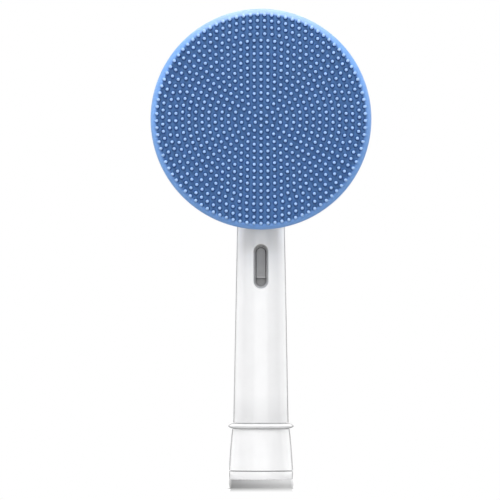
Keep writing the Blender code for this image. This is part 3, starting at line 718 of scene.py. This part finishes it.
def on_stem(angle, height, radius=None):
    """The point on the stem's skin at an angle from the front. A stated radius makes a plain circle."""
    if radius is not None:
        return Vector((radius * math.sin(angle), -radius * math.cos(angle), height))
    front, back, front_square, back_square = stem_depths(height)
    turned = parted(angle, height)
    square = front_square if math.cos(turned) > 0 else back_square
    across, along = math.sin(turned), -math.cos(turned)
    across = math.copysign(abs(across) ** (2 / square), across)
    along = math.copysign(abs(along) ** (2 / square), along)
    return Vector((stem_half_width(height) * across, (back - front) / 2 + (front + back) / 2 * along, height))


print(len(window_heights()), "rings cross the window")

# %% The list of rings
RING_MIDDLE = 10.87 * MM
GROOVE_LOW = RING_MIDDLE - 0.61 * MM
GROOVE_HIGH = RING_MIDDLE + 0.67 * MM
GROOVE_FLOOR = WAIST_RADIUS - 0.45 * MM
SLEEVE_EASE = 0.05 * MM
FLARE_STEPS, NECK_STEPS, CUP_STEPS = 14, 26, 24
BELOW_WINDOW = (14 * MM, 20 * MM, 26 * MM, 32 * MM, 36 * MM, 38.2 * MM)
ABOVE_WINDOW = (48.6 * MM, 51 * MM, 55 * MM, 60 * MM, 64 * MM)
CUP_TOP_ANGLE = math.radians(88)


def stem_rings():
    """(height, radius or None) from the foot to the cup's top. The groove's walls are plain circles."""
    flare = spaced(SLEEVE_FOOT + SLEEVE_EASE, GROOVE_LOW, FLARE_STEPS)
    neck = spaced(PAD_HEIGHT - NECK_LENGTH, PAD_HEIGHT, NECK_STEPS)
    cup = [PAD_HEIGHT + CUP_RADIUS * math.sin(turn) for turn in spaced(0, CUP_TOP_ANGLE, CUP_STEPS)[1:]]
    rings = [(SLEEVE_FOOT, stem_radius(SLEEVE_FOOT) - SLEEVE_EASE)]
    rings += [(height, None) for height in flare]
    rings += [(GROOVE_LOW, GROOVE_FLOOR), (GROOVE_HIGH, GROOVE_FLOOR)]
    rings += [(height, None) for height in (GROOVE_HIGH, *BELOW_WINDOW, *window_heights(), *ABOVE_WINDOW)]
    return rings + [(height, None) for height in neck + cup]


print(len(stem_rings()), "rings")

# %% Pull the skin up
def stem_skin():
    """The stem's closed outside, with the window still to be opened. Returns it with each vertex's angle."""
    bm = bmesh.new()
    half_step = Matrix.Rotation(FRONT_ANGLE, 4, "Z")
    circle = bmesh.ops.create_circle(bm, segments=STEM_COLUMNS, radius=1, cap_ends=False, matrix=half_step)
    angles = {vert: math.atan2(vert.co.x, -vert.co.y) for vert in circle["verts"]}
    bottom = edges = bm.edges[:]
    rings = stem_rings()
    for vert, angle in angles.items():
        vert.co = on_stem(angle, *rings[0])
    for height, radius in rings[1:]:
        grown = bmesh.ops.extrude_edge_only(bm, edges=edges)["geom"]
        edges = [item for item in grown if isinstance(item, bmesh.types.BMEdge)
                 and all(vert not in angles for vert in item.verts)]
        risen = {}
        for vert in {vert for edge in edges for vert in edge.verts}:
            below = next(edge.other_vert(vert) for edge in vert.link_edges if edge.other_vert(vert) in angles)
            risen[vert] = angles[below]
            vert.co = on_stem(risen[vert], height, radius)
        angles.update(risen)
    bmesh.ops.contextual_create(bm, geom=bottom)
    bmesh.ops.contextual_create(bm, geom=edges)
    return bm, angles


stem_bm, stem_angles = stem_skin()
print(len(stem_bm.verts), "vertices in the skin")

# %% [markdown]
# ## Opening the window
#
# The faces between the two front columns go. The open loop is pushed in along Y to make the window's wall.
# The wall leans in as it goes deeper, because a moulded window needs draft, so it shows as a border round
# the rod. The border is grey partly from its own shading and partly from shade painted into the white below
# the skin. Its outer edge is bevelled, because a moulded edge is never sharp. The pocket is closed for now,
# and the bore that comes next will open it from the inside.

# %% Open the window
POCKET_BACK = -3.1 * MM
WINDOW_EDGE = 0.12 * MM
WINDOW_DRAFT = 0.42
BETWEEN_COLUMNS = FRONT_ANGLE * 1.01
STEM_SHARP = 32


def open_window(bm, angles):
    """Deletes the faces in the window, gives it a leaning wall and eases its edge."""
    doomed = [face for face in bm.faces if len(face.verts) == 4
              and all(abs(angles[vert]) < BETWEEN_COLUMNS for vert in face.verts)
              and WINDOW_LOW < face.calc_center_median().z < WINDOW_HIGH]
    bmesh.ops.delete(bm, geom=doomed, context="FACES")
    bmesh.ops.remove_doubles(bm, verts=bm.verts, dist=SAME_PLACE)
    loop = [edge for edge in bm.edges if edge.is_boundary]
    pushed = bmesh.ops.extrude_edge_only(bm, edges=loop)["geom"]
    deep_edges = [item for item in pushed if isinstance(item, bmesh.types.BMEdge) and item.is_boundary]
    for vert in {vert for edge in deep_edges for vert in edge.verts}:
        middle = min(max(vert.co.z, WINDOW_LOW + WINDOW_HALF), WINDOW_HIGH - WINDOW_HALF)
        outward = Vector((vert.co.x, 0, vert.co.z - middle))
        drop = (POCKET_BACK - vert.co.y) * WINDOW_DRAFT
        vert.co -= outward * (drop / outward.length)
        vert.co.y = POCKET_BACK
    bmesh.ops.contextual_create(bm, geom=deep_edges)
    bmesh.ops.recalc_face_normals(bm, faces=bm.faces)
    eased(bm, loop, WINDOW_EDGE, segments=3)
    print(len(loop), "edges round the window,", sum(edge.is_boundary for edge in bm.edges), "left open")


open_window(stem_bm, stem_angles)
stem = as_object(stem_bm, "stem_sleeve", stem_white, sharp=STEM_SHARP)

# %% [markdown]
# ## Boring the stem
#
# The inside is a stepped bore for the insert and the rod, the cup's round hollow with its bearing hub, and
# the hole for the pin. Nobody looks along these walls closely, so a Boolean is the quick and exact way.
# Its result is written into the mesh, and the cutters are deleted.

# %% Cutters
SEAT_GAP = 0.3 * MM
ROD_ROOM = 3.8 * MM
BORE_TOP = 3.55 * MM
INSERT_SEAT = 4.8 * MM
INSERT_END = 20.3 * MM
BORE_STEP = 49.2 * MM
CUP_HOLLOW = 5.5 * MM
CUP_FLOOR = 2.6 * MM
HUB_RADIUS = 3.3 * MM
HUB_FRONT = -0.9 * MM
JOURNAL_BORE = 1.8 * MM
JOURNAL_END = 3.5 * MM
PIN_X = 1.75 * MM
PIN_Y = 1.8 * MM
PIN_HOLE = 0.8 * MM
PIN_BOTTOM = -2.3 * MM
OVERRUN = 1 * MM
BORE_SIDES, PIN_SIDES = 96, 24


def bore_cutter():
    """The stepped bore, up to just inside the cup's hollow."""
    top = PAD_HEIGHT - math.sqrt(CUP_HOLLOW ** 2 - BORE_TOP ** 2) + SEAT_GAP
    outline = [(0, 0), (INSERT_SEAT, 0), (INSERT_SEAT, INSERT_END), (ROD_ROOM, INSERT_END),
               (ROD_ROOM, BORE_STEP), (BORE_TOP, BORE_STEP + OVERRUN), (BORE_TOP, top), (0, top)]
    return as_object(spun(outline, UP, BORE_SIDES), "bore_cutter")


def hollow_cutter():
    """The cup's hollow round its hub, and the hub's bore."""
    outline = [(0, -CUP_FRONT - OVERRUN), (CUP_HOLLOW, -CUP_FRONT - OVERRUN), (CUP_HOLLOW, CUP_FLOOR),
               (HUB_RADIUS, CUP_FLOOR), (HUB_RADIUS, HUB_FRONT), (JOURNAL_BORE, HUB_FRONT),
               (JOURNAL_BORE, JOURNAL_END), (0, JOURNAL_END)]
    bm = spun(outline, BACK, BORE_SIDES)
    bmesh.ops.translate(bm, verts=bm.verts, vec=(0, 0, PAD_HEIGHT))
    return as_object(bm, "hollow_cutter")


def pin_cutter():
    """The pin's hole, down from the cup's top and past the journal."""
    top = CUP_RADIUS + OVERRUN
    bm = spun([(0, PIN_BOTTOM), (PIN_HOLE, PIN_BOTTOM), (PIN_HOLE, top), (0, top)], UP, PIN_SIDES)
    bmesh.ops.translate(bm, verts=bm.verts, vec=(PIN_X, PIN_Y, PAD_HEIGHT))
    return as_object(bm, "pin_cutter")


stem_cutters = [bore_cutter(), hollow_cutter(), pin_cutter()]
print([cutter.name for cutter in stem_cutters])

# %% Cut the stem
def carved(piece, cutters, sharp):
    """Takes the cutters out of the piece, and writes the result into its mesh."""
    for cutter in cutters:
        cut = piece.modifiers.new(cutter.name, "BOOLEAN")
        cut.operation, cut.solver, cut.object = "DIFFERENCE", "EXACT", cutter
    graph = bpy.context.evaluated_depsgraph_get()
    result = bpy.data.meshes.new_from_object(piece.evaluated_get(graph))
    piece.modifiers.clear()
    piece.data = result
    result.name = piece.name
    result.shade_smooth()
    result.set_sharp_from_angle(angle=math.radians(sharp))
    for cutter in cutters:
        bpy.data.objects.remove(cutter, do_unlink=True)


carved(stem, stem_cutters, STEM_SHARP)
dressed(stem, "stem", "stem_housing")

# %% [markdown]
# ## The foot: insert and marker ring
#
# The insert is the inner sleeve that grips the handle's neck. Only its flange shows, below the parting
# line. The marker ring is a thin loop with a pointed oval section, snapped into the stem's groove. Both are
# spun, and the four grip ribs inside the insert are boxes with rounded edges.

# %% Insert
BORE_RADIUS = 3.9 * MM
INSERT_RADIUS = 4.5 * MM
INSERT_LENGTH = 20 * MM
LEDGE_RADIUS = 6.3 * MM
LEDGE_TOP = SLEEVE_FOOT - 0.04 * MM
FOOT_EASE = 0.04 * MM
FLANGE_EASE = 0.05 * MM
MOUTH_CHAMFER = 0.5 * MM
RIB_COUNT = 4
RIB_HEIGHT = 8.25 * MM
RIB_SIZE = (0.6 * MM, 0.9 * MM, 11.5 * MM)
RIB_EDGE = 0.12 * MM
FOOT_SIDES = 128


def insert_section():
    """From the bore's mouth round the flange and the ledge to the bore's top."""
    outline = [(BORE_RADIUS + MOUTH_CHAMFER, 0), (FOOT_RADIUS - FOOT_EASE, 0)]
    outline += rounded_corner((FOOT_RADIUS - FOOT_EASE, FOOT_EASE), FOOT_EASE, -60, 0, 3)
    outline += rounded_corner((FOOT_RADIUS - FLANGE_EASE, FLANGE_TOP - FLANGE_EASE), FLANGE_EASE, 0, 90, 4)
    outline += [(LEDGE_RADIUS, FLANGE_TOP), (LEDGE_RADIUS, LEDGE_TOP), (INSERT_RADIUS, LEDGE_TOP),
                (INSERT_RADIUS, INSERT_LENGTH - FLANGE_EASE), (INSERT_RADIUS - FLANGE_EASE, INSERT_LENGTH)]
    return outline + [(BORE_RADIUS, INSERT_LENGTH), (BORE_RADIUS, MOUTH_CHAMFER)]


def foot_insert():
    """The inner sleeve with its flange and its grip ribs."""
    bm = spun(insert_section(), UP, FOOT_SIDES)
    for number in range(RIB_COUNT):
        turn = Matrix.Rotation(math.tau * number / RIB_COUNT, 4, "Z")
        shape = Matrix.LocRotScale((BORE_RADIUS, 0, RIB_HEIGHT), None, RIB_SIZE)
        rib = bmesh.ops.create_cube(bm, size=1, matrix=turn @ shape)
        edges = dict.fromkeys(edge for vert in rib["verts"] for edge in vert.link_edges)
        eased(bm, list(edges), RIB_EDGE, segments=2)
    return as_object(bm, "foot_insert", stem_white)


dressed(foot_insert(), "stem", "base_insert")

# %% Marker ring
RING_RADIUS = 6.66 * MM
RING_THICKNESS = 1.1 * MM
RING_GAP = 0.05 * MM
RING_STEPS = 16


def marker_loop():
    """The ring, flat at the back and rounded to a point at the front."""
    back, half = GROOVE_FLOOR + RING_GAP, RING_THICKNESS / 2
    outline = [(back, half), (back, -half)]
    for share in spaced(-1, 1, RING_STEPS):
        outline.append((WAIST_RADIUS + (RING_RADIUS - WAIST_RADIUS) * (1 - share * share), share * half))
    bm = spun(outline, UP, FOOT_SIDES)
    bmesh.ops.translate(bm, verts=bm.verts, vec=(0, 0, RING_MIDDLE))
    return as_object(bm, "marker_loop", ring_white, sharp=40)


dressed(marker_loop(), "stem", "marker_ring")

# %% [markdown]
# ## Pieces kept from the model
#
# The rod, the carrier, the backing, the clip and the pin already have their true shapes in the engineering
# model. They keep their meshes and only get real finishes.

# %% Finishes for the kept pieces
for node, finish in {"drive_rod": rod_grey, "pad_carrier": backing_white, "pad_backing": backing_white,
                     "shaft_clip": steel, "retaining_pin": steel}.items():
    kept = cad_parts[node]
    kept.data.materials.clear()
    kept.data.materials.append(finish)
    print(node, "gets", finish.name)

# %% [markdown]
# ## Floor
#
# The head stands on a white table. Photographers often let such a table burn out to pure white, and keep
# only the dark patch where the object meets it. Here the floor glows, for the camera alone, away from the
# foot and on both sides of the strip of shadow in front of it. It has a trace of polish, so a faint
# reflection hangs under the object. Painted shade makes the strip darker on the left and towards the front,
# and behind the foot the floor has one plain tone. For bounced light the table is paler near the foot, a
# painted pool of light. In reflections the table is painted dark in a wedge straight behind the foot, a
# painted reflection of the black card that the last cell adds to the world.

# %% The table's tone
PAINTED_SHADOW_TONES = (0.2225, 0.472)
TONE_REACH = (-6 * MM, 4.6 * MM)
PAINTED_SHADOW_FADES = (1.3, 0.76)
FADE_REACH = (8 * MM, 74 * MM)
TONE_BEHIND = 0.215
BEHIND_REACH = (5 * MM, 20 * MM)
# the table's tone for bounced light: a painted pool of light near the foot
FLOOR_BOUNCE = (0.5, 0.3)
BOUNCE_REACH = (12 * MM, 42 * MM)
CARD_REACH = (0.74, 0.86)
CARD_TONE = 0.05


def table_tone(tree, path, along, away):
    """The tone of the strip for the camera, and what the table throws back for all other rays."""
    # painted shade: the strip's tone darkens to the left and towards the front
    across = remapped(tree, along["X"], *TONE_REACH, *PAINTED_SHADOW_TONES)
    strip = worked(tree, "MULTIPLY", across, remapped(tree, away, *FADE_REACH, *PAINTED_SHADOW_FADES))
    seen = mixed(tree, "FLOAT", remapped(tree, along["Y"], *BEHIND_REACH, 0, 1), strip, TONE_BEHIND)
    # a painted reflection: glossy rays see the table dark straight behind the foot, as if it mirrored the
    # black card
    straight_back = remapped(tree, worked(tree, "DIVIDE", along["Y"], away), *CARD_REACH, 0, 1)
    wedge = worked(tree, "MULTIPLY", straight_back, path["Is Glossy Ray"])
    # a painted pool of light: bounced rays see the table paler near the foot
    bounce = worked(tree, "MULTIPLY", remapped(tree, away, *BOUNCE_REACH, *FLOOR_BOUNCE),
                    remapped(tree, wedge, 0, 1, 1, CARD_TONE))
    return mixed(tree, "FLOAT", path["Is Camera Ray"], bounce, seen)


print("strip from", PAINTED_SHADOW_TONES[0], "on the left to", PAINTED_SHADOW_TONES[1], "on the right")

# %% Floor
FLOOR_SIZE = 1.2
SHADOW_SIDES = (5.9 * MM, 6.9 * MM)
SHADOW_POOL = (107 * MM, 158 * MM)
POLISH = 0.08
POLISH_ROUGHNESS = 0.03


def mixed_shader(tree, amount, below, above):
    """A mix of two shaders."""
    node = add_node(tree, "ShaderNodeMixShader")
    for socket, source in zip(node.inputs, (amount, below, above)):
        feed(tree, source, socket)
    return node.outputs[0]


def bright_floor():
    """A white table with a trace of polish, which glows for the camera outside the shadow."""
    made = bpy.data.materials.new("bright_floor")
    made.use_nodes = True
    tree = made.node_tree
    tree.nodes.clear()
    path = add_node(tree, "ShaderNodeLightPath").outputs
    place, along = coordinates(tree)
    away = distance_from(tree, place, (0, 0, 0), (1, 1, 1))
    chalk = add_node(tree, "ShaderNodeBsdfDiffuse")
    tree.links.new(table_tone(tree, path, along, away), chalk.inputs["Color"])
    polish = add_node(tree, "ShaderNodeBsdfGlossy", Color=(1, 1, 1, 1), Roughness=POLISH_ROUGHNESS)
    surface = mixed_shader(tree, POLISH, chalk.outputs[0], polish.outputs[0])
    glow = add_node(tree, "ShaderNodeEmission", Color=(1, 1, 1, 1), Strength=1)
    aside = remapped(tree, worked(tree, "ABSOLUTE", along["X"]), *SHADOW_SIDES, 0, 1)
    outside = worked(tree, "MAXIMUM", aside, remapped(tree, away, *SHADOW_POOL, 0, 1))
    glows = worked(tree, "MULTIPLY", outside, path["Is Camera Ray"])
    output = add_node(tree, "ShaderNodeOutputMaterial")
    tree.links.new(mixed_shader(tree, glows, surface, glow.outputs[0]), output.inputs["Surface"])
    return made


def table_top():
    """A square face round the origin."""
    bm = bmesh.new()
    bmesh.ops.create_grid(bm, x_segments=1, y_segments=1, size=FLOOR_SIZE / 2)
    return as_object(bm, "floor", bright_floor())


floor = table_top()
print("floor", FLOOR_SIZE, "m wide")

# %% [markdown]
# ## Light
#
# The light is even, as in a white tent. More than half of it comes from the world. A low strip in front adds
# a brighter band down the middle of the stem. A wide, weak panel on each side lifts its flanks: a narrow one
# would mirror in the gloss as a hard white line along each edge. A soft key from above and a little to the
# left picks out the nubs, a small panel overhead lights the top of the rim, and a larger one behind fills
# the back. The last lamp stands low behind and lights the table alone, by light linking, so that the
# object's shadow falls towards the camera. It is tiny, so the shadow's sides stay straight and crisp.

# %% Lamps
MIDDLE = (0, 0, 0.05)
PANELS = {
    "front_strip": ((0, -1.55, 0.1), (1.7, 0.3), 2.8),
    "key_above": ((-0.13, -0.75, 0.85), (0.7, 0.6), 6.5),
    "side_left": ((-1.1, 0.6, 0.15), (1.35, 0.9), 4.0),
    "side_right": ((1.1, 0.6, 0.15), (1.35, 0.9), 5.4),
    "top_panel": ((0, 0.15, 1.1), (0.6, 0.4), 3.2),
    "back_fill": ((0, 1.25, 0.75), (1.0, 0.8), 3.5),
}
FLOOR_LAMP_AWAY = 1.2
FLOOR_LAMP_TURN = math.radians(6)
FLOOR_LAMP_PLACE = (0, FLOOR_LAMP_AWAY * math.cos(FLOOR_LAMP_TURN),
                    FLOOR_LAMP_AWAY * math.sin(FLOOR_LAMP_TURN))
FLOOR_LAMP_SIZE = (0.004, 0.004)
FLOOR_LAMP_POWER = 500.0


def panel(name, place, aim, size, power):
    """A rectangular area lamp, turned to face a point and hidden from the camera."""
    data = bpy.data.lights.new(name, "AREA")
    data.shape = "RECTANGLE"
    data.size, data.size_y = size
    data.energy = power
    lamp = bpy.data.objects.new(name, data)
    lamp.location = place
    lamp.rotation_euler = (Vector(aim) - Vector(place)).to_track_quat("-Z", "Y").to_euler()
    lamp.visible_camera = False
    bpy.context.scene.collection.objects.link(lamp)
    return lamp


for name, (place, size, power) in PANELS.items():
    panel(name, place, MIDDLE, size, power)
floor_lamp = panel("floor_lamp", FLOOR_LAMP_PLACE, (0, 0, 0), FLOOR_LAMP_SIZE, FLOOR_LAMP_POWER)
only_floor = bpy.data.collections.new("only_floor")
only_floor.objects.link(floor)
floor_lamp.light_linking.receiver_collection = only_floor
floor_lamp.data.cycles.max_bounces = 0
print(len(PANELS), "panels and the floor's own lamp placed")

# %% [markdown]
# ## World
#
# The world is white where the camera sees it. Its strength for diffuse rays is the even fill. In
# reflections it is white too, except for a low dark patch straight behind the object, as from a black card.
# The patch shows only at grazing angles, so it draws a thin grey outline round the white stem.

# %% World
WORLD_FILL = 0.68
CARD_RISE = (0.25, 0.45)


def world_card(tree):
    """1 inside the dark patch and 0 outside it, from the direction of the ray."""
    along = coordinates(tree, "Generated")[1]
    rise = worked(tree, "ABSOLUTE", along["Z"])
    return worked(tree, "MULTIPLY", remapped(tree, along["Y"], *CARD_REACH, 0, 1),
                  remapped(tree, rise, *CARD_RISE, 1, 0))


def studio_world():
    """A white world that fills the shade, with the black card in its reflections."""
    world = bpy.data.worlds.new("studio")
    world.use_nodes = True
    tree = world.node_tree
    background = tree.nodes["Background"]
    background.inputs["Color"].default_value = (1, 1, 1, 1)
    path = add_node(tree, "ShaderNodeLightPath").outputs
    straight = worked(tree, "MAXIMUM", path["Is Camera Ray"], path["Is Transmission Ray"])
    seen = worked(tree, "MAXIMUM", straight, path["Is Glossy Ray"])
    card = worked(tree, "MULTIPLY", path["Is Glossy Ray"], world_card(tree))
    strength = worked(tree, "MULTIPLY", remapped(tree, seen, 0, 1, WORLD_FILL, 1),
                      remapped(tree, card, 0, 1, 1, CARD_TONE))
    tree.links.new(strength, background.inputs["Strength"])
    return world


bpy.context.scene.world = studio_world()
print("world fill", WORLD_FILL)
